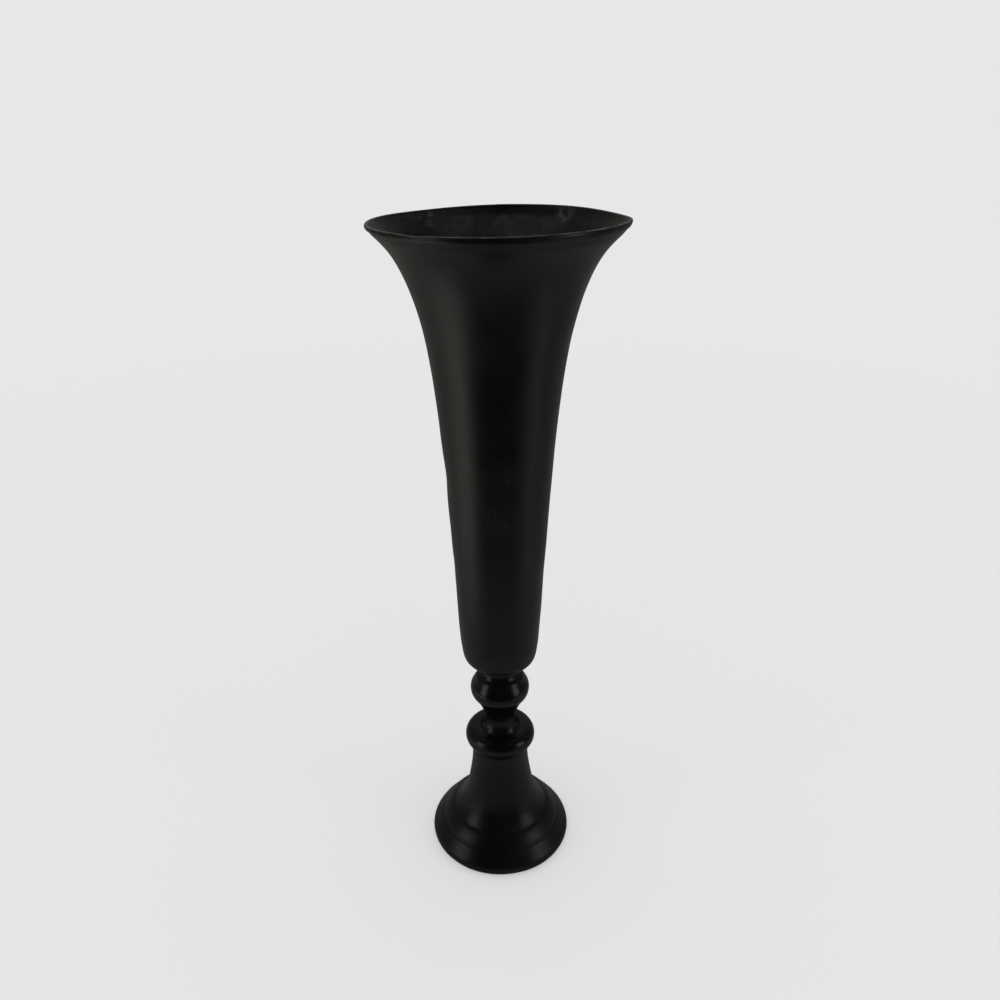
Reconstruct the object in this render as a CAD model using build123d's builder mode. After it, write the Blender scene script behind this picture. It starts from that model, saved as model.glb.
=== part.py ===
from build123d import *
from math import cos, radians, sin
import os

# A tall trumpet vase. A spun trumpet stands on a turned stem and a hollow bell foot,
# and one tie rod draws the stack together.
# Millimetres, +Z up, origin at the centre of the plane that the foot stands on.

# Overall sizes
overall_height = 610.0
rim_diameter = 200.0
foot_diameter = 139.0

# Heights of the stacked pieces, from seat to seat
foot_height = 111.5
lower_knop_height = 19.5
neck_height = 21.5
upper_knop_height = 54.5

# Trumpet: a spun shell with a rounded bottom, a slim barrel, a flare and a rolled lip
trumpet_wall = 2.0
lip_diameter = 3.2
rim_lean_degrees = 45.0
base_flat_diameter = 24.0
barrel_diameter = 73.0
barrel_height = 31.0
barrel_lean_share = 0.056
bowl_shares = [(0.59, 0.09), (0.84, 0.27), (0.94, 0.60)]
flare_shares = [(0.086, 0.27), (0.168, 0.49), (0.288, 0.70), (0.42, 0.82), (0.645, 0.925), (0.79, 0.963)]
wall_shares = [0, 0.25, 0.5, 0.7, 0.82, 0.91, 0.96, 1]

# Upper knop: an onion-shaped bead that runs up in a cove to the collar that the trumpet sits on
upper_knop_diameter = 56.6
upper_knop_belly_height = 26.6
upper_knop_lip = 0.8
upper_belly_shares = [(0.11, 0.12), (0.58, 0.54)]
belly_lean_share = 0.4
upper_shoulder_shares = [(0.63, 0.74)]
shoulder_lean_share = 0.5
collar_height = 13.1
collar_diameter = 36.8
cove_diameter = 42.4
collar_waist_diameter = 34.4
collar_waist_share = 0.42
collar_flare_share = 0.3

# Neck: a spool with a slightly concave waist between two narrow lips
neck_base_diameter = 36.0
neck_base_lip = 1.0
neck_waist_diameter = 28.0
neck_waist_share = 0.63
neck_top_diameter = 31.0
neck_top_lip = 1.0
neck_lip_step = 0.5

# Lower knop: a round bead on the foot's crown, dished on top for the neck
lower_knop_diameter = 67.5
lower_knop_belly_height = 11.1
lower_knop_crest_rise = 1.4
lower_knop_crest_share = 0.40
neck_socket_gap = 0.4

# Foot: a hollow bell on a band, a plinth moulding and a rounded edge
crown_diameter = 54.2
crown_round = 1.5
crown_thickness = 5.0
bell_shares = [(0.55, 0.223), (0.80, 0.454), (0.92, 0.66)]
bell_lean_share = 1.0
band_height = 33.0
band_width = 9.6
band_bulge = 0.6
plinth_height = 21.0
plinth_width = 10.2
plinth_shares = [(0.42, 0.53)]
plinth_lean_share = 0.85
ledge_width = 1.1
ledge_rise = 1.2
edge_height = 5.2
edge_tuck = 4.8
rest_width = 5.0
foot_wall = 4.0

# Registers: a low boss on each stem piece that centres the piece above it
register_diameter = 18.0
register_height = 2.0
register_gap = 0.2

# Tie rod and its fastenings
rod_diameter = 8.0
rod_hole_gap = 0.25
rod_tail = 4.0
rod_chamfer = 1.0
thread_gap = 0.05
nut_width = 13.0
nut_chamfer = 0.8
hex_nut_height = 6.5
cap_nut_hex_height = 8.0
cap_nut_height = 15.0
cap_nut_depth = 11.0
cap_tip_gap = 0.5
cap_dome_diameter = 12.4
bowl_washer_diameter = 20.0
bowl_washer_thickness = 1.6
seal_washer_diameter = 23.0
seal_washer_thickness = 2.0
clamp_washer_diameter = 36.0
clamp_washer_thickness = 2.5
lock_washer_diameter = 14.6
lock_washer_thickness = 2.2
lock_washer_split = 1.6

# Places that follow from the sizes above
lower_knop_z = foot_height
neck_z = lower_knop_z + lower_knop_height
upper_knop_z = neck_z + neck_height
trumpet_z = upper_knop_z + upper_knop_height
seal_z = trumpet_z + trumpet_wall
bowl_washer_z = seal_z + seal_washer_thickness
cap_nut_z = bowl_washer_z + bowl_washer_thickness
crown_under_z = foot_height - crown_thickness
clamp_washer_z = crown_under_z - clamp_washer_thickness
lock_washer_z = clamp_washer_z - lock_washer_thickness
hex_nut_z = lock_washer_z - hex_nut_height
rod_bottom_z = hex_nut_z - rod_tail
rod_top_z = cap_nut_z + cap_nut_depth - cap_tip_gap
rod_radius = rod_diameter / 2
rod_hole_radius = rod_radius + rod_hole_gap
thread_radius = rod_radius + thread_gap
register_radius = register_diameter / 2
UPWARD = (Align.CENTER, Align.CENTER, Align.MIN)


def along(start, end, shares):
    """Outline points, each a share of the way from one corner to another, across and up."""
    reach = end[0] - start[0]
    rise = end[1] - start[1]
    return [(start[0] + reach * across, start[1] + rise * up) for across, up in shares]


def inside_wall(curve, shares):
    """Points that lie the trumpet's wall inside a curve, at shares of the curve's length."""
    tangents = [curve % share for share in shares]
    return [curve @ share + Vector(-t.Y, t.X) * trumpet_wall for share, t in zip(shares, tangents)]


def add_register(top_z):
    """Raises the boss that centres the piece above, and carries the rod's hole through it."""
    with BuildSketch(Plane.XY.offset(top_z)) as boss:
        Circle(register_radius)
        Circle(rod_hole_radius, mode=Mode.SUBTRACT)
    extrude(boss.sketch, amount=register_height)


def cut_recess(bottom_z):
    """Sinks the recess that drops over the boss of the piece below."""
    with BuildSketch(Plane.XY.offset(bottom_z)) as recess:
        Circle(register_radius + register_gap)
    extrude(recess.sketch, amount=register_height + register_gap, mode=Mode.SUBTRACT)


def washer(diameter, thickness, bottom_z):
    """A flat ring on the rod."""
    with BuildSketch(Plane.XY.offset(bottom_z)) as ring:
        Circle(diameter / 2)
        Circle(rod_hole_radius, mode=Mode.SUBTRACT)
    extrude(ring.sketch, amount=thickness)


def hexagon(height, bottom_z):
    """A hexagonal prism whose corners are turned off at both ends."""
    top_z = bottom_z + height
    flat_radius = nut_width / 2
    corner_radius = flat_radius / cos(radians(30))
    with BuildSketch(Plane.XY.offset(bottom_z)) as prism:
        RegularPolygon(flat_radius, side_count=6, major_radius=False)
    extrude(prism.sketch, amount=height)
    with BuildSketch(Plane.XZ) as turned:
        with BuildLine():
            Polyline(
                (0, bottom_z),
                (flat_radius, bottom_z),
                (corner_radius, bottom_z + nut_chamfer),
                (corner_radius, top_z - nut_chamfer),
                (flat_radius, top_z),
                (0, top_z),
                close=True,
            )
        make_face()
    revolve(turned.sketch, axis=Axis.Z, mode=Mode.INTERSECT)


# Trumpet body: the outside, the inside at the wall's thickness from it, and a round lip at the end
lip_radius = lip_diameter / 2
lip_centre = Vector(rim_diameter / 2 - lip_radius, overall_height - lip_radius)
rim_direction = (sin(radians(rim_lean_degrees)), cos(radians(rim_lean_degrees)))
rim_outward = Vector(rim_direction[1], -rim_direction[0])
flare_end = tuple(lip_centre + rim_outward * (trumpet_wall / 2))[:2]
base_flat_end = (base_flat_diameter / 2, trumpet_z)
barrel_start = (barrel_diameter / 2, trumpet_z + barrel_height)
barrel_direction = (barrel_lean_share, 1)
bowl_ends = [(1, 0), barrel_direction]
flare_ends = [barrel_direction, rim_direction]

with BuildPart() as trumpet_body:
    with BuildSketch(Plane.XZ):
        with BuildLine():
            bowl_points = along(base_flat_end, barrel_start, bowl_shares)
            flare_points = along(barrel_start, flare_end, flare_shares)
            bowl = Spline(base_flat_end, *bowl_points, barrel_start, tangents=bowl_ends)
            flare = Spline(barrel_start, *flare_points, flare_end, tangents=flare_ends)
            inner_bowl = Spline(*inside_wall(bowl, wall_shares), tangents=bowl_ends)
            inner_flare = Spline(*inside_wall(flare, wall_shares), tangents=flare_ends)
            Line(flare @ 1, inner_flare @ 1)
            Polyline(
                inner_bowl @ 0,
                (rod_hole_radius, seal_z),
                (rod_hole_radius, trumpet_z),
                base_flat_end,
            )
        make_face()
        with Locations((lip_centre.X, lip_centre.Y)):
            Circle(lip_radius)
    revolve(axis=Axis.Z)

# Upper knop
upper_seat = (neck_top_diameter / 2 + upper_knop_lip, upper_knop_z)
upper_belly = (upper_knop_diameter / 2, upper_knop_z + upper_knop_belly_height)
shoulder_end = (cove_diameter / 2, trumpet_z - collar_height)
shoulder_direction = (-1, shoulder_lean_share)
collar_waist = (collar_waist_diameter / 2, shoulder_end[1] + collar_height * collar_waist_share)
collar_top = (collar_diameter / 2, trumpet_z)

with BuildPart() as upper_knop:
    with BuildSketch(Plane.XZ):
        with BuildLine():
            Line((rod_hole_radius, upper_knop_z), upper_seat)
            Spline(
                upper_seat,
                *along(upper_seat, upper_belly, upper_belly_shares),
                upper_belly,
                tangents=[(belly_lean_share, 1), (0, 1)],
            )
            Spline(
                upper_belly,
                *along(upper_belly, shoulder_end, upper_shoulder_shares),
                shoulder_end,
                tangents=[(0, 1), shoulder_direction],
            )
            Spline(
                shoulder_end,
                collar_waist,
                collar_top,
                tangents=[shoulder_direction, (collar_flare_share, 1)],
            )
            Polyline(collar_top, (rod_hole_radius, trumpet_z), (rod_hole_radius, upper_knop_z))
        make_face()
    revolve(axis=Axis.Z)
    cut_recess(upper_knop_z)

# Neck spool
neck_base_radius = neck_base_diameter / 2
neck_top_radius = neck_top_diameter / 2
waist = (neck_waist_diameter / 2, neck_z + neck_height * neck_waist_share)
base_lip_z = neck_z + neck_base_lip
top_lip_z = upper_knop_z - neck_top_lip

with BuildPart() as neck_spool:
    with BuildSketch(Plane.XZ):
        with BuildLine():
            Polyline(
                (rod_hole_radius, neck_z),
                (neck_base_radius, neck_z),
                (neck_base_radius, base_lip_z),
                (neck_base_radius - neck_lip_step, base_lip_z),
            )
            ThreePointArc(
                (neck_base_radius - neck_lip_step, base_lip_z),
                waist,
                (neck_top_radius - neck_lip_step, top_lip_z),
            )
            Polyline(
                (neck_top_radius - neck_lip_step, top_lip_z),
                (neck_top_radius, top_lip_z),
                (neck_top_radius, upper_knop_z),
                (rod_hole_radius, upper_knop_z),
                (rod_hole_radius, neck_z),
            )
        make_face()
    revolve(axis=Axis.Z)
    cut_recess(neck_z)
    add_register(upper_knop_z)

# Lower knop
crown_flat_radius = crown_diameter / 2 - crown_round
lower_seat = (crown_flat_radius, lower_knop_z)
lower_belly = (lower_knop_diameter / 2, lower_knop_z + lower_knop_belly_height)
socket = (neck_base_radius + neck_socket_gap, neck_z)
crest_reach = (lower_belly[0] - socket[0]) * lower_knop_crest_share
crest = (socket[0] + crest_reach, neck_z + lower_knop_crest_rise)

with BuildPart() as lower_knop:
    with BuildSketch(Plane.XZ):
        with BuildLine():
            Line((rod_hole_radius, lower_knop_z), lower_seat)
            TangentArc(lower_belly, lower_seat, tangent=(0, -1))
            TangentArc(lower_belly, crest, tangent=(0, 1))
            Spline(crest, socket, tangents=[(-1, 0), (0, -1)])
            Polyline(socket, (rod_hole_radius, neck_z), (rod_hole_radius, lower_knop_z))
        make_face()
    revolve(axis=Axis.Z)
    cut_recess(lower_knop_z)
    add_register(neck_z)

# Foot: outside from the resting edge up to the crown, then the hollow back down
foot_radius = foot_diameter / 2
rest_outer = (foot_radius - edge_tuck, 0)
rest_inner = (rest_outer[0] - rest_width, 0)
edge = (foot_radius, edge_height)
plinth_top = (foot_radius - plinth_width, plinth_height)
plinth_ledge = (plinth_top[0] - ledge_width, plinth_height)
band_foot = (plinth_ledge[0], plinth_height + ledge_rise)
band_top = (band_foot[0] - band_width, band_height)
bell_foot = (band_top[0] - ledge_width, band_height)
crown_edge = (crown_diameter / 2, foot_height - crown_round)
crown_flat = (crown_flat_radius, foot_height)
bell_points = along(bell_foot, crown_edge, bell_shares)
hollow_top = (crown_edge[0] - foot_wall, crown_under_z)
hollow_points = [(r - foot_wall, z - foot_wall / 2) for r, z in (bell_points[1], bell_foot, plinth_ledge)]

with BuildPart() as foot:
    with BuildSketch(Plane.XZ):
        with BuildLine():
            Line(rest_inner, rest_outer)
            TangentArc(edge, rest_outer, tangent=(0, -1))
            Spline(
                edge,
                *along(edge, plinth_top, plinth_shares),
                plinth_top,
                tangents=[(0, 1), (-plinth_lean_share, 1)],
            )
            Polyline(plinth_top, plinth_ledge, band_foot)
            SagittaArc(band_foot, band_top, -band_bulge)
            Line(band_top, bell_foot)
            Spline(
                bell_foot,
                *bell_points,
                crown_edge,
                tangents=[(-bell_lean_share, 1), (0, 1)],
            )
            TangentArc(crown_edge, crown_flat, tangent=(0, 1))
            Polyline(
                crown_flat,
                (rod_hole_radius, foot_height),
                (rod_hole_radius, crown_under_z),
                hollow_top,
            )
            Spline(hollow_top, *hollow_points, rest_inner, tangents=[(0, -1), (0, -1)])
        make_face()
    revolve(axis=Axis.Z)
    add_register(foot_height)

# Tie rod
with BuildPart() as tie_rod:
    with Locations((0, 0, rod_bottom_z)):
        Cylinder(rod_radius, rod_top_z - rod_bottom_z, align=UPWARD)
    chamfer(tie_rod.edges().filter_by(GeomType.CIRCLE), rod_chamfer)

# Washers, from the top down
with BuildPart() as bowl_washer:
    washer(bowl_washer_diameter, bowl_washer_thickness, bowl_washer_z)

with BuildPart() as seal_washer:
    washer(seal_washer_diameter, seal_washer_thickness, seal_z)

with BuildPart() as clamp_washer:
    washer(clamp_washer_diameter, clamp_washer_thickness, clamp_washer_z)

with BuildPart() as lock_washer:
    washer(lock_washer_diameter, lock_washer_thickness, lock_washer_z)
    with Locations((lock_washer_diameter / 2, 0, lock_washer_z)):
        Box(
            lock_washer_diameter,
            lock_washer_split,
            lock_washer_thickness,
            align=UPWARD,
            mode=Mode.SUBTRACT,
        )

# Nuts
with BuildPart() as hex_nut:
    hexagon(hex_nut_height, hex_nut_z)
    with BuildSketch(Plane.XY.offset(hex_nut_z)):
        Circle(thread_radius)
    extrude(amount=hex_nut_height, mode=Mode.SUBTRACT)

with BuildPart() as cap_nut:
    hexagon(cap_nut_hex_height, cap_nut_z)
    dome_foot = (cap_dome_diameter / 2, cap_nut_z + cap_nut_hex_height)
    dome_top = (0, cap_nut_z + cap_nut_height)
    with BuildSketch(Plane.XZ):
        with BuildLine():
            Spline(dome_foot, dome_top, tangents=[(0, 1), (-1, 0)])
            Polyline(dome_top, (0, dome_foot[1]), dome_foot)
        make_face()
    revolve(axis=Axis.Z)
    with BuildSketch(Plane.XY.offset(cap_nut_z)):
        Circle(thread_radius)
    extrude(amount=cap_nut_depth, mode=Mode.SUBTRACT)

# One file for each piece
os.makedirs("parts", exist_ok=True)
pieces = {
    "trumpet_body": trumpet_body,
    "upper_knop": upper_knop,
    "neck_spool": neck_spool,
    "lower_knop": lower_knop,
    "foot": foot,
    "tie_rod": tie_rod,
    "cap_nut": cap_nut,
    "bowl_washer": bowl_washer,
    "seal_washer": seal_washer,
    "clamp_washer": clamp_washer,
    "lock_washer": lock_washer,
    "hex_nut": hex_nut,
}
for name, piece in pieces.items():
    piece.part.label = name
    export_step(piece.part, f"parts/{name}.step")
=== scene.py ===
import math
import bmesh
import bpy
from mathutils import Matrix, Vector, noise
from mathutils.geometry import interpolate_bezier


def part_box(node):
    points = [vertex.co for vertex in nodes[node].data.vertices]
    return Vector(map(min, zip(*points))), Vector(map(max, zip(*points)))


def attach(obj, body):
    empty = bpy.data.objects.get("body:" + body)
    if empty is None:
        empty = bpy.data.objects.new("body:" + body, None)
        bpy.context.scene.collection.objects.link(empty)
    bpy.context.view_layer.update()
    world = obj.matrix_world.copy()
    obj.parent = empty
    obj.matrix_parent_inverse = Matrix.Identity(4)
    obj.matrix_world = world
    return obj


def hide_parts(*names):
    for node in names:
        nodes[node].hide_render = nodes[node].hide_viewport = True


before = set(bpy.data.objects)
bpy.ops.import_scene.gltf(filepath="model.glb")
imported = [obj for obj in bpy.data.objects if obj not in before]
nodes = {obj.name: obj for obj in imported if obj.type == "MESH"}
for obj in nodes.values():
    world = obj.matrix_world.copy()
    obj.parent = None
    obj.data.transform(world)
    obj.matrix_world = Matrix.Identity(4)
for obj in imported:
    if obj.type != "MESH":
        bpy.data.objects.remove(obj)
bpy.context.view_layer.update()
rim_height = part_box("trumpet_body")[1][2]
neck_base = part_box("neck_spool")[0][2]

# Camera, as the photograph was taken: from above, a little turned about its own axis
CAMERA_PLACE = Vector((0.0010, -0.6895, 0.7069))
CAMERA_PITCH = 25.56
CAMERA_ROLL = -0.30
FOCAL_PIXELS = 880.0
PICTURE_PIXELS = 1000.0
SENSOR = 36.0

# Room and lights, in metres, degrees from the front to the right, and shares of white
ROOM_TONE = 0.80
FLOOR_TONE = 0.95
FLOOR_REACH = 6.0
FLOOR_COVER = 0.55
FLOOR_FADE = (0.7, 2.2)
LIGHT_DISTANCE = 2.4
LIGHT_SIZE = (0.85, 1.35)
LIGHT_CENTRE = 1.02
LIGHTS = {
    "left_light": {"azimuth": -66.0, "radiance": 1.1, "colour": (1.0, 0.96, 0.90)},
    "right_light": {"azimuth": 66.0, "radiance": 1.1, "colour": (1.0, 0.99, 0.97)},
}
DRAPES_REACH = 3.2
DRAPES_SEGMENTS = (48, 24)
# Painted light and shade of the room in the drapes' tones: darkest in front, lighter behind
DRAPES_TONES = (
    (-180, 0.25), (-120, 0.16), (-60, 0.08), (-40, 0.02),
    (40, 0.02), (60, 0.06), (120, 0.12), (180, 0.25),
)
CLOTH_REACH = 1.8
CLOTH_LIFT = 0.002
CLOTH_NEAR = (0.35, 0.62)
CLOTH_NEAR_TONE = 0.22
# Painted light and shade of the room on the floor cloth: a pool of light on the left, shade in front
CLOTH_TONES = (
    (-180, 0.22), (-130, 0.22), (-104, 0.30), (-84, 0.78), (-64, 1.0), (-48, 0.30), (-36, 0.03),
    (36, 0.03), (56, 0.24), (70, 0.42), (90, 0.20), (120, 0.17), (180, 0.22),
)
# Warm tint of the painted light on the left side
WARM_SIDE = (1.0, 0.98, 0.90)
PLAIN_SIDE = (1.0, 1.0, 1.0)
MATT_ROUGHNESS = 0.9

# The two finishes of black paint
SATIN = {
    "roughness": 0.33,
    "specular": 0.44,
    "peel": 0.22,
    "tones": ((0.0012, 0.0012, 0.0012, 1), (0.0036, 0.0034, 0.0029, 1)),
}
GLOSS = {
    "roughness": 0.22,
    "specular": 0.46,
    "peel": 0.08,
    "tones": ((0.0008, 0.0008, 0.0008, 1), (0.0022, 0.0022, 0.0021, 1)),
}

# Unevenness of the paint: noises, and the ranges of them that count
CLOUDS = {"Scale": 17.0, "Detail": 6.0, "Roughness": 0.62}
CLOUD_TONE_RANGE = (0.35, 0.65)
CLOUD_GLOSS_RANGE = (0.30, 0.70)
CLOUD_GLOSS = 0.06
SMEARS = {"Scale": 34.0, "Detail": 4.0, "Roughness": 0.7}
MOTTLE = {"Scale": 120.0, "Detail": 5.0, "Roughness": 0.65}
SKIN = {"Scale": 420.0, "Detail": 3.0}
SKIN_HEIGHT = 0.0003
TURNED_RINGS = {"Scale": 130.0, "Distortion": 1.5, "Detail": 2.0}
TURNED_HEIGHT = 0.0001
TURNED_SHARE = 0.5

# Dust and smudges inside, with painted shade under the lip, scuffs, and wear with a painted highlight at the
# two sides: tones, places in metres, and ranges with what they give
INSIDE_FACING = (0.05, -0.25)
DUST_TONE = (0.024, 0.0236, 0.0226, 1)
DUST_LEAST = 0.15
# Heights below the rim over which the dust comes in; the band above them stays dark as painted shade under
# the lip
LIP_SHADE_BAND = (0.0055, 0.0085)
DUST_AT_BACK = (0.72, 0.95)
DUST_PATCHES = (0.38, 0.64, 0.3, 1.0)
DUST_ROUGHNESS = 0.12
SMUDGE_TONE = (0.050, 0.049, 0.046, 1)
SMUDGE_REACH = (0.011, 0.003)
SMUDGE_PATCHES = (0.46, 0.60)
SMUDGES = ((-0.060, 0.073, 0.601), (0.058, 0.0765, 0.603))
SCUFF_TONE = (0.012, 0.0118, 0.011, 1)
SCUFF_STRETCH = (900.0, 900.0, 55.0)
SCUFF_GRAIN = {"Scale": 1.0, "Detail": 2.0}
SCUFF_LINES = (0.62, 0.72)
SCUFF_CLUSTERS = (0.52, 0.66)
# Tone of the edge wear, which on the two sides is also a painted highlight on the lip
WEAR_AND_GLINT_TONE = (0.105, 0.102, 0.094, 1)
WEAR_AND_GLINT_PATCHES = (0.38, 0.60, 0.35, 1.0)
# Span across the vase where the edge wear is laid on, as a painted highlight on the two sides
GLINT_SIDES = (0.55, 0.95, 0.62, 1.0)

# Fastenings
ZINC_TONES = ((0.42, 0.42, 0.41, 1), (0.62, 0.61, 0.58, 1))
ZINC_GRAIN = {"Scale": 400.0, "Detail": 4.0}
ZINC_ROUGHNESS = (0.28, 0.45)
RUBBER_TONES = ((0.012, 0.012, 0.012, 1), (0.028, 0.027, 0.026, 1))
RUBBER_GRAIN = {"Scale": 1500.0, "Detail": 3.0}
RUBBER_BUMP = {"Strength": 0.3, "Distance": 0.0001}
RUBBER_ROUGHNESS = 0.8
THREAD_PITCH = 0.00125
THREAD_DEPTH = 0.00068
THREAD_FLANK = 1.25
THREAD_SEGMENTS = 36
THREAD_STEPS = 10

# How finely the painted pieces are turned
WELD = 1e-6
ON_PLANE = 1e-5
RUN_STEP = 0.0003
CORNER_TURN = math.radians(24)
KEPT_TURN = math.radians(4)
WORN_RADII = (0.0035, 0.0014)
WORN_FACING = (0.55, 0.35)

# How uneven the spun and turned metal is: fineness and height of its waves
WAVES = ((22.0, 0.00040), (58.0, 0.00010))

# Rim, as it was spun: higher than the plain section, most of all in front and on the right
RIM_EASE = 0.0055
RIM_RAISE = 0.0024
RIM_FRONT = 0.0018
RIM_RIGHT = 0.0015

# Places of the rim: degrees from the front to the right, half width in degrees, depth or push in metres
RIM_NICK = (-35.5, 6.0, 0.0008)
RIM_SAGS = ((-140.0, 28.0, 0.0010), (108.0, 26.0, 0.0016))
RIM_PUSH = (84.0, 18.0, 0.0018)

# Dents in the trumpet: degrees from the front to the right, height, radius and depth
DENTS = (
    (-25.3, 0.590, 0.0035, 0.00035),
    (26.3, 0.583, 0.0030, 0.00035),
    (-92.0, 0.405, 0.0170, 0.00110),
    (-88.0, 0.318, 0.0100, 0.00040),
    (38.0, 0.502, 0.0060, 0.00025),
    (150.0, 0.470, 0.0120, 0.00060),
)

# Paint in the seam between the neck and the knop below it
SEAM_SPREAD = 0.0010
SEAM_HEIGHT = 0.0042
SEAM_START = 0.010
SEAM_EASE = 0.003


class Finish:
    """A node-based material, with functions that add nodes to it and link them."""

    def __init__(self, name):
        self.material = bpy.data.materials.new(name)
        self.material.use_nodes = True
        self.tree = self.material.node_tree
        self.shader = self.tree.nodes["Principled BSDF"].inputs
        self.place = self.add("TexCoord").outputs["Object"]

    def plug(self, socket, value):
        if isinstance(value, bpy.types.NodeSocket):
            self.tree.links.new(value, socket)
        else:
            socket.default_value = value

    def add(self, kind, settings=None, **inputs):
        made = self.tree.nodes.new("ShaderNode" + kind)
        for key, value in (settings or {}).items():
            setattr(made, key, value)
        for key, value in inputs.items():
            self.plug(made.inputs[key.replace("_", " ")], value)
        return made

    def operate(self, kind, operation, *values):
        made = self.add(kind, {"operation": operation})
        for socket, value in zip(made.inputs, values):
            self.plug(socket, value)
        return made.outputs

    def number(self, operation, *values):
        return self.operate("Math", operation, *values)[0]

    def vector(self, operation, *values):
        return self.operate("VectorMath", operation, *values)["Vector"]

    def measure(self, operation, *values):
        return self.operate("VectorMath", operation, *values)["Value"]

    def times(self, first, *others):
        for other in others:
            first = self.number("MULTIPLY", first, other)
        return first

    def grain(self, **settings):
        return self.add("TexNoise", **{"Vector": self.place, **settings}).outputs["Fac"]

    def ramp(self, value, start, end, low=0.0, high=1.0, kind="LINEAR"):
        made = self.add("MapRange", {"interpolation_type": kind}, Value=value)
        for key, limit in (("From Min", start), ("From Max", end), ("To Min", low), ("To Max", high)):
            self.plug(made.inputs[key], limit)
        return made.outputs["Result"]

    def blend(self, share, low, high):
        made = self.add("Mix", {"data_type": "RGBA"})
        for index, value in ((0, share), (6, low), (7, high)):
            self.plug(made.inputs[index], value)
        return made.outputs[2]


def black_paint(name, roughness, specular, peel, tones):
    """Black paint: cloudy in tone and gloss over faint turned rings, dusty inside with painted shade under
    the lip, lighter along its edges from wear, with a painted highlight at the two sides.
    """
    paint = Finish(name)
    clouds = paint.grain(**CLOUDS)
    smears = paint.grain(**SMEARS)
    mottle = paint.grain(**MOTTLE)
    colour = paint.blend(paint.ramp(clouds, *CLOUD_TONE_RANGE), *tones)

    # Which way a point lies from the axis, and whether its surface looks back towards the axis
    outward = paint.vector("NORMALIZE", paint.vector("MULTIPLY", paint.place, (1.0, 1.0, 0.0)))
    facing = paint.measure("DOT_PRODUCT", outward, paint.add("NewGeometry").outputs["Normal"])
    inside = paint.ramp(facing, *INSIDE_FACING)
    way = paint.add("SeparateXYZ", Vector=outward).outputs
    height = paint.add("SeparateXYZ", Vector=paint.place).outputs["Z"]

    # Dust on the inside, most of it on the back wall below the lip; a band just under the lip is kept free
    # of it and stays dark, as painted shade of the lip
    past_lip_shade = paint.ramp(height, *(rim_height - below for below in LIP_SHADE_BAND))
    at_back = paint.ramp(way["Y"], *DUST_AT_BACK)
    thick = paint.ramp(paint.times(past_lip_shade, at_back), 0.0, 1.0, DUST_LEAST, 1.0)
    dust = paint.times(inside, thick, paint.ramp(smears, *DUST_PATCHES))
    colour = paint.blend(dust, colour, DUST_TONE)

    # Two smudges in the dust
    patchy = paint.ramp(mottle, *SMUDGE_PATCHES)
    for smudge in SMUDGES:
        near = paint.ramp(paint.measure("DISTANCE", paint.place, smudge), *SMUDGE_REACH)
        colour = paint.blend(paint.times(near, inside, patchy), colour, SMUDGE_TONE)

    # Faint upright scuffs, in clusters
    stretched = paint.add("Mapping", Vector=paint.place, Scale=SCUFF_STRETCH).outputs["Vector"]
    lines = paint.grain(Vector=stretched, **SCUFF_GRAIN)
    scuffs = paint.times(paint.ramp(lines, *SCUFF_LINES), paint.ramp(smears, *SCUFF_CLUSTERS))
    colour = paint.blend(scuffs, colour, SCUFF_TONE)

    # Wear along the edges, kept to the two sides of the vase, where it also paints a highlight on the lip
    edge = paint.add("Attribute", {"attribute_name": "edge_wear"}).outputs["Fac"]
    lit_sides = paint.ramp(paint.number("ABSOLUTE", way["X"]), *GLINT_SIDES)
    worn_and_glint = paint.times(edge, lit_sides, paint.ramp(mottle, *WEAR_AND_GLINT_PATCHES))
    paint.plug(paint.shader["Base Color"], paint.blend(worn_and_glint, colour, WEAR_AND_GLINT_TONE))

    # Gloss, duller under the dust, and a skin of orange peel over the turned rings
    gloss = paint.ramp(clouds, *CLOUD_GLOSS_RANGE, roughness - CLOUD_GLOSS, roughness + CLOUD_GLOSS)
    paint.plug(paint.shader["Roughness"], paint.number("MULTIPLY_ADD", dust, DUST_ROUGHNESS, gloss))
    paint.shader["Specular IOR Level"].default_value = specular
    rings = paint.add("TexWave", {"bands_direction": "Z"}, Vector=paint.place, **TURNED_RINGS).outputs["Fac"]
    turned = paint.add("Bump", Strength=peel * TURNED_SHARE, Distance=TURNED_HEIGHT, Height=rings)
    skin = paint.add("Bump", Strength=peel, Distance=SKIN_HEIGHT, Height=paint.grain(**SKIN))
    paint.plug(skin.inputs["Normal"], turned.outputs["Normal"])
    paint.plug(paint.shader["Normal"], skin.outputs["Normal"])
    return paint.material


def zinc_steel():
    """Zinc-plated steel: a fine cold grain with duller patches."""
    zinc = Finish("zinc_steel")
    grain = zinc.grain(**ZINC_GRAIN)
    zinc.plug(zinc.shader["Base Color"], zinc.blend(grain, *ZINC_TONES))
    zinc.plug(zinc.shader["Roughness"], zinc.ramp(grain, 0.0, 1.0, *ZINC_ROUGHNESS))
    zinc.shader["Metallic"].default_value = 1.0
    return zinc.material


def seal_rubber():
    """Dull black rubber with a fine moulded grain."""
    rubber = Finish("seal_rubber")
    grain = rubber.grain(**RUBBER_GRAIN)
    rubber.plug(rubber.shader["Base Color"], rubber.blend(grain, *RUBBER_TONES))
    rubber.plug(rubber.shader["Normal"], rubber.add("Bump", Height=grain, **RUBBER_BUMP).outputs["Normal"])
    rubber.shader["Roughness"].default_value = RUBBER_ROUGHNESS
    return rubber.material


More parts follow.
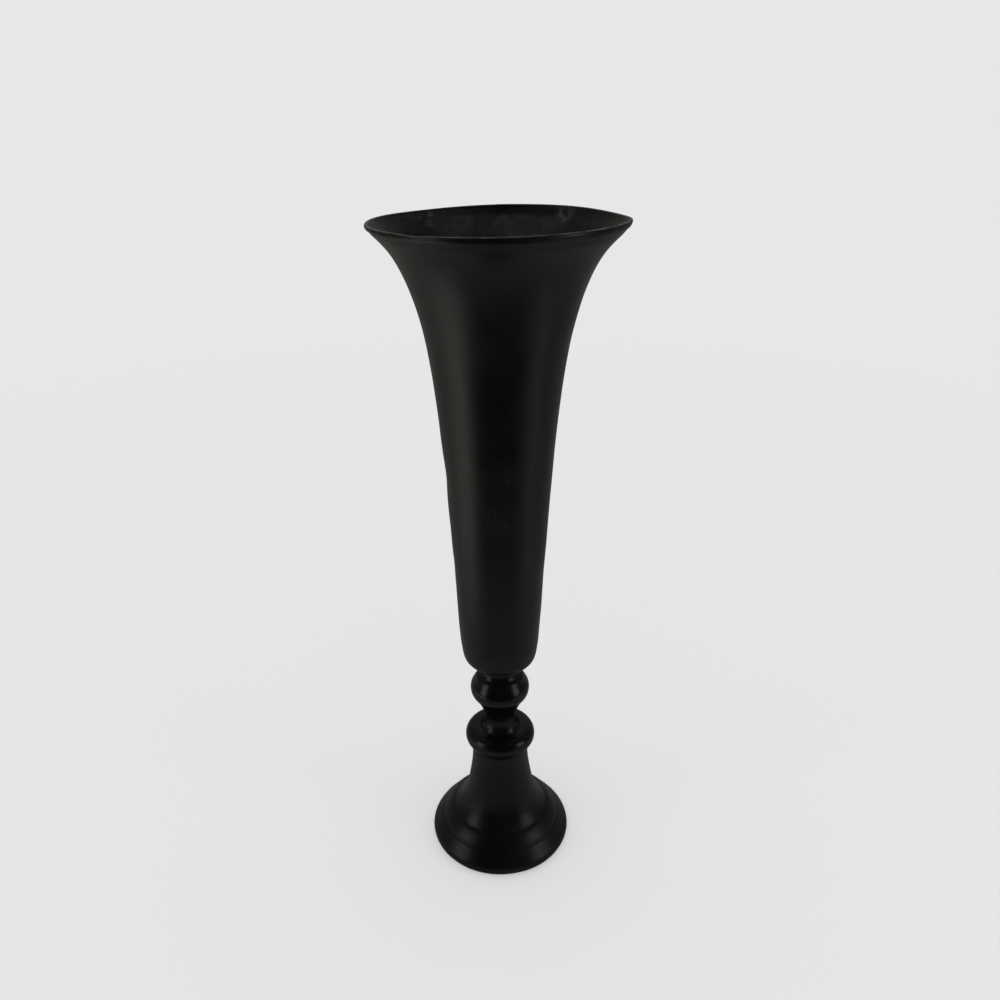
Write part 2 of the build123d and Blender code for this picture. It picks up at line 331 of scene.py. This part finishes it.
def pale_floor():
    """Matt pale floor, which thins out into the room's own tone far from the vase."""
    floor = Finish("pale_floor")
    away = floor.measure("LENGTH", floor.place)
    floor.plug(floor.shader["Alpha"], floor.ramp(away, *FLOOR_FADE, FLOOR_COVER, 0.0, kind="SMOOTHSTEP"))
    floor.shader["Base Color"].default_value = (FLOOR_TONE, FLOOR_TONE, FLOOR_TONE, 1)
    floor.shader["Roughness"].default_value = MATT_ROUGHNESS
    floor.shader["Specular IOR Level"].default_value = 0.0
    return floor.material


def dim_cloth(name, tones, near_tone=None):
    """Matt cloth round the vase, whose tone goes with the direction and may be another near the vase:
    painted light and shade of the room, as the gloss shows it.
    """
    cloth = Finish(name)
    split = cloth.add("SeparateXYZ", Vector=cloth.place).outputs
    azimuth = cloth.number("ARCTAN2", split["X"], cloth.times(split["Y"], -1.0))
    fade = cloth.add("ValToRGB", Fac=cloth.ramp(azimuth, -math.pi, math.pi))
    fade.color_ramp.interpolation = "EASE"
    for degrees, _ in tones[1:-1]:
        fade.color_ramp.elements.new(degrees / 360 + 0.5)
    for element, (degrees, tone) in zip(fade.color_ramp.elements, tones):
        tint = WARM_SIDE if degrees < 0 else PLAIN_SIDE
        element.color = (*(tone * share for share in tint), 1)
    colour = fade.outputs["Color"]
    if near_tone:
        far = cloth.ramp(cloth.measure("LENGTH", cloth.place), *CLOTH_NEAR, kind="SMOOTHSTEP")
        colour = cloth.blend(far, (near_tone, near_tone, near_tone, 1), colour)
    cloth.plug(cloth.shader["Base Color"], colour)
    cloth.shader["Roughness"].default_value = MATT_ROUGHNESS
    cloth.shader["Specular IOR Level"].default_value = 0.0
    return cloth.material


def new_object(name, points, faces, material):
    mesh = bpy.data.meshes.new(name)
    mesh.from_pydata(points, [], faces)
    mesh.materials.append(material)
    made = bpy.data.objects.new(name, mesh)
    bpy.context.scene.collection.objects.link(made)
    return made


def stage_piece(name, points, faces, material, reflected_only=False):
    made = new_object(name, points, faces, material)
    if reflected_only:
        made.visible_camera = False
        made.visible_diffuse = False
        made.visible_shadow = False


def stage_square(name, reach, height, material, reflected_only=False):
    front = [(-reach, -reach, height), (reach, -reach, height)]
    back = [(reach, reach, height), (-reach, reach, height)]
    stage_piece(name, front + back, [(0, 1, 2, 3)], material, reflected_only)


def section(name):
    """Closed outline of a round CAD node on one side of its axis, as (radius, height) points in order."""
    cut = bmesh.new()
    cut.from_mesh(nodes[name].data)
    bmesh.ops.remove_doubles(cut, verts=cut.verts[:], dist=WELD)
    everything = cut.verts[:] + cut.edges[:] + cut.faces[:]
    bmesh.ops.bisect_plane(cut, geom=everything, dist=WELD, plane_co=(0, 0, 0), plane_no=(0, 1, 0))
    cut.verts.index_update()
    cut.verts.ensure_lookup_table()
    beside = {}
    for edge in cut.edges:
        one, two = edge.verts
        if max(abs(one.co.y), abs(two.co.y)) < ON_PLANE and min(one.co.x, two.co.x) > ON_PLANE:
            beside.setdefault(one.index, []).append(two.index)
            beside.setdefault(two.index, []).append(one.index)
    loop = [min(beside)]
    ahead = beside[loop[0]][0]
    while ahead != loop[0]:
        one, two = beside[ahead]
        loop.append(ahead)
        ahead = two if one == loop[-2] else one
    outline = [Vector((cut.verts[index].co.x, cut.verts[index].co.z)) for index in loop]
    cut.free()
    return outline


def ease(value):
    value = min(max(value, 0.0), 1.0)
    return value * value * (3 - 2 * value)


def bump_at(place, centre, half_width):
    """A smooth hump, 1 at its centre and fading away on both sides."""
    return math.exp(-(((place - centre) / half_width) ** 2))


def slope_at(before, here, after):
    """Direction of a smooth line through the middle one of three points."""
    back, forth = here - before, after - here
    mixed = back / back.length * forth.length + forth / forth.length * back.length
    return mixed / (back.length + forth.length)


def smooth_run(points):
    """A close run of points on the smooth closed line through the given ones, which keeps sharp corners."""
    count = len(points)
    slopes = []
    for index, here in enumerate(points):
        before, after = points[index - 1], points[(index + 1) % count]
        sharp = (here - before).angle(after - here) > CORNER_TURN
        slopes.append(None if sharp else slope_at(before, here, after))
    run = []
    for index, here in enumerate(points):
        after = points[(index + 1) % count]
        chord = after - here
        straight = chord / chord.length
        leave = slopes[index] or straight
        arrive = slopes[(index + 1) % count] or straight
        reach = chord.length / 3
        pieces = math.ceil(chord.length / RUN_STEP) + 1
        run += interpolate_bezier(here, here + leave * reach, after - arrive * reach, after, pieces + 1)[:-1]
    return run


def evenly_spaced(points):
    """Points at even steps along a closed run."""
    ends = points[1:] + points[:1]
    total = sum((end - start).length for start, end in zip(points, ends))
    count = round(total / RUN_STEP)
    step = total / count
    spaced = []
    travelled = 0.0
    for start, end in zip(points, ends):
        length = (end - start).length
        while len(spaced) < count and len(spaced) * step < travelled + length:
            spaced.append(start.lerp(end, (len(spaced) * step - travelled) / length))
        travelled += length
    return spaced


def softened(points, passes):
    """Corners rounded a little, as paint fills and rounds them."""
    for _ in range(passes):
        befores = points[-1:] + points[:-1]
        afters = points[1:] + points[:1]
        points = [(before + here * 2 + after) / 4 for before, here, after in zip(befores, points, afters)]
    return points


def thinned(points, longest):
    """Leaves out points where the line is nearly straight, with no gap over the longest step."""
    kept = [points[0]]
    heading = points[1] - points[0]
    for here, after in zip(points[1:], points[2:] + points[:1]):
        if (here - kept[-1]).length >= longest or (after - here).angle(heading) >= KEPT_TURN:
            kept.append(here)
            heading = after - here
    return kept


def edge_wear(points):
    """How sharp the outline's upper edges are at each point, from 0 for plain to 1 for a tight edge."""
    befores = points[-1:] + points[:-1]
    afters = points[1:] + points[:1]
    side = math.copysign(1.0, sum(here.cross(after) for here, after in zip(points, afters)))
    blunt, sharp = (1 / radius for radius in WORN_RADII)
    shares = []
    for before, here, after in zip(befores, points, afters):
        back, forth = here - before, after - here
        bend = math.atan2(back.cross(forth), back.dot(forth)) * side * 2 / (back.length + forth.length)
        upward = -side * (after.x - before.x) / (after - before).length
        tight = ease((bend - blunt) / (sharp - blunt))
        shares.append(tight * ease((upward - WORN_FACING[0]) / WORN_FACING[1]))
    return shares


def uneven(point):
    """Moves a point of a piece out or in a little, as hand-spun metal is never quite round."""
    swell = sum(height * noise.noise(point * scale) for scale, height in WAVES)
    return point + Vector((point.x, point.y, 0)).normalized() * swell


def spun_shell(point):
    """The trumpet as spun and used: rim raised and tilted, with low places, a nick and a few dents."""
    reach = math.hypot(point.x, point.y)
    azimuth = math.degrees(math.atan2(point.x, -point.y))
    at_rim = ease((point.z - rim_height) / RIM_EASE + 1)
    lift = RIM_RAISE - RIM_FRONT * point.y / reach + RIM_RIGHT * point.x / reach
    for low_azimuth, half_width, depth in (RIM_NICK, *RIM_SAGS):
        lift -= depth * bump_at(azimuth, low_azimuth, half_width)
    push_azimuth, half_width, furthest = RIM_PUSH
    push = furthest * at_rim * bump_at(azimuth, push_azimuth, half_width)
    for dent_azimuth, height, radius, depth in DENTS:
        across = math.radians(azimuth - dent_azimuth) * reach
        push -= depth * math.exp(-(across ** 2 + (point.z - height) ** 2) / radius ** 2)
    outward = Vector((point.x, point.y, 0)) / reach
    return uneven(point) + outward * push + Vector((0, 0, lift * at_rim))


def seated_neck(point):
    """The neck, whose base spreads onto the knop below it, as paint fills the seam between the two."""
    spread = SEAM_SPREAD * ease(1 - (point.z - neck_base) / SEAM_HEIGHT)
    reach = math.hypot(point.x, point.y)
    spread *= ease((reach - SEAM_START) / SEAM_EASE)
    return uneven(point) + Vector((point.x, point.y, 0)) / reach * spread


def lathe(name, node, slot, material, shape, turns, longest, passes, wear):
    """Turns a CAD node's own section into a smooth mesh that stands for the node."""
    outline = thinned(softened(evenly_spaced(smooth_run(section(node))), passes), longest)
    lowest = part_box(node)[0][2]
    for spot in outline:
        spot.y = max(spot.y, lowest)
    points = []
    for turn in range(turns):
        angle = math.tau * turn / turns
        points += [shape(Vector((s.x * math.cos(angle), s.x * math.sin(angle), s.y))) for s in outline]
    count = len(outline)
    faces = []
    for turn in range(turns):
        here, there = turn * count, (turn + 1) % turns * count
        faces += [
            (here + i, there + i, there + (i + 1) % count, here + (i + 1) % count) for i in range(count)
        ]
    made = new_object(name, points, faces, material)
    shares = made.data.attributes.new("edge_wear", "FLOAT", "POINT")
    shares.data.foreach_set("value", [share * wear for share in edge_wear(outline)] * turns)
    shell = bmesh.new()
    shell.from_mesh(made.data)
    bmesh.ops.recalc_face_normals(shell, faces=shell.faces[:])
    shell.to_mesh(made.data)
    shell.free()
    made.data.shade_smooth()
    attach(made, "root")
    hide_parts(node)


def threaded_rod(material):
    """The tie rod with its thread, between the same ends as the CAD rod."""
    low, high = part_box("tie_rod")
    crest = high[0]
    rows = round((high[2] - low[2]) / THREAD_PITCH * THREAD_STEPS)
    count = THREAD_SEGMENTS
    points = []
    for row in range(rows + 1):
        height = low[2] + (high[2] - low[2]) * row / rows
        from_end = min(height - low[2], high[2] - height)
        for segment in range(count):
            share = segment / count
            phase = (height / THREAD_PITCH - share) % 1.0
            groove = THREAD_DEPTH * min(1.0, THREAD_FLANK * abs(2 * phase - 1))
            radius = crest - max(groove, THREAD_DEPTH - from_end)
            angle = math.tau * share
            points.append((radius * math.cos(angle), radius * math.sin(angle), height))
    faces = [tuple(range(count - 1, -1, -1)), tuple(rows * count + i for i in range(count))]
    for row in range(rows):
        here, there = row * count, (row + 1) * count
        faces += [
            (here + i, here + (i + 1) % count, there + (i + 1) % count, there + i) for i in range(count)
        ]
    made = new_object("threaded_rod", points, faces, material)
    made.data.shade_smooth()
    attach(made, "root")
    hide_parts("tie_rod")


def finish_with(material, *names):
    for name in names:
        made = nodes[name]
        made.data.materials.clear()
        made.data.materials.append(material)


# Painted pieces
satin = {"slot": "satin_black_paint", "material": black_paint("satin_black_paint", **SATIN)}
gloss = {"slot": "gloss_black_paint", "material": black_paint("gloss_black_paint", **GLOSS)}
turned_knop = {"shape": uneven, "turns": 160, "longest": 0.0015, "passes": 10, "wear": 0.1}
lathe(
    "painted_trumpet", "trumpet_body", **satin,
    shape=spun_shell, turns=256, longest=0.003, passes=6, wear=1.0,
)
lathe("painted_upper_knop", "upper_knop", **gloss, **turned_knop)
lathe(
    "painted_neck", "neck_spool", **gloss,
    shape=seated_neck, turns=128, longest=0.0010, passes=10, wear=0.1,
)
lathe("painted_lower_knop", "lower_knop", **gloss, **turned_knop)
lathe(
    "painted_foot", "foot", **satin,
    shape=uneven, turns=224, longest=0.002, passes=18, wear=0.12,
)

# Fastenings
zinc = zinc_steel()
threaded_rod(zinc)
finish_with(zinc, "cap_nut", "bowl_washer", "clamp_washer", "lock_washer", "hex_nut")
finish_with(seal_rubber(), "seal_washer")

# Floor
stage_square("floor", FLOOR_REACH, 0, pale_floor())

# Dim room, which only the gloss of the vase shows: a cloth on the floor and a dome of drapes, whose tones
# paint the room's light and shade, with a pool of light on the floor on the left and shade in front
floor_cloth = dim_cloth("floor_cloth", CLOTH_TONES, CLOTH_NEAR_TONE)
stage_square("floor_cloth", CLOTH_REACH, CLOTH_LIFT, floor_cloth, reflected_only=True)
dome = bmesh.new()
across, upward = DRAPES_SEGMENTS
bmesh.ops.create_uvsphere(dome, u_segments=across, v_segments=upward, radius=DRAPES_REACH)
dome_points = [vertex.co.copy() for vertex in dome.verts]
dome_faces = [[vertex.index for vertex in face.verts] for face in dome.faces]
dome.free()
stage_piece("drapes", dome_points, dome_faces, dim_cloth("drapes", DRAPES_TONES), reflected_only=True)

# Room
world = bpy.data.worlds.new("room")
world.use_nodes = True
world.node_tree.nodes["Background"].inputs["Color"].default_value = (ROOM_TONE, ROOM_TONE, ROOM_TONE, 1)
bpy.context.scene.world = world

# A tall soft light on each side
for name, light in LIGHTS.items():
    data = bpy.data.lights.new(name, "AREA")
    data.shape = "RECTANGLE"
    data.size, data.size_y = LIGHT_SIZE
    data.energy = light["radiance"] * math.pi * LIGHT_SIZE[0] * LIGHT_SIZE[1]
    data.color = light["colour"]
    lamp = bpy.data.objects.new(name, data)
    bpy.context.scene.collection.objects.link(lamp)
    angle = math.radians(light["azimuth"])
    lamp.location = (math.sin(angle) * LIGHT_DISTANCE, -math.cos(angle) * LIGHT_DISTANCE, LIGHT_CENTRE)
    lamp.rotation_mode = "QUATERNION"
    lamp.rotation_quaternion = Vector((-lamp.location.x, -lamp.location.y, 0)).to_track_quat("-Z", "Y")
    lamp.visible_camera = False

# Camera
data = bpy.data.cameras.new("camera")
data.sensor_width = SENSOR
data.lens = SENSOR * FOCAL_PIXELS / PICTURE_PIXELS
camera = bpy.data.objects.new("camera", data)
bpy.context.scene.collection.objects.link(camera)
camera.matrix_world = (
    Matrix.Translation(CAMERA_PLACE)
    @ Matrix.Rotation(math.radians(90 - CAMERA_PITCH), 4, "X")
    @ Matrix.Rotation(math.radians(CAMERA_ROLL), 4, "Z")
)
bpy.context.scene.camera = camera
bpy.context.scene.view_settings.view_transform = "Standard"
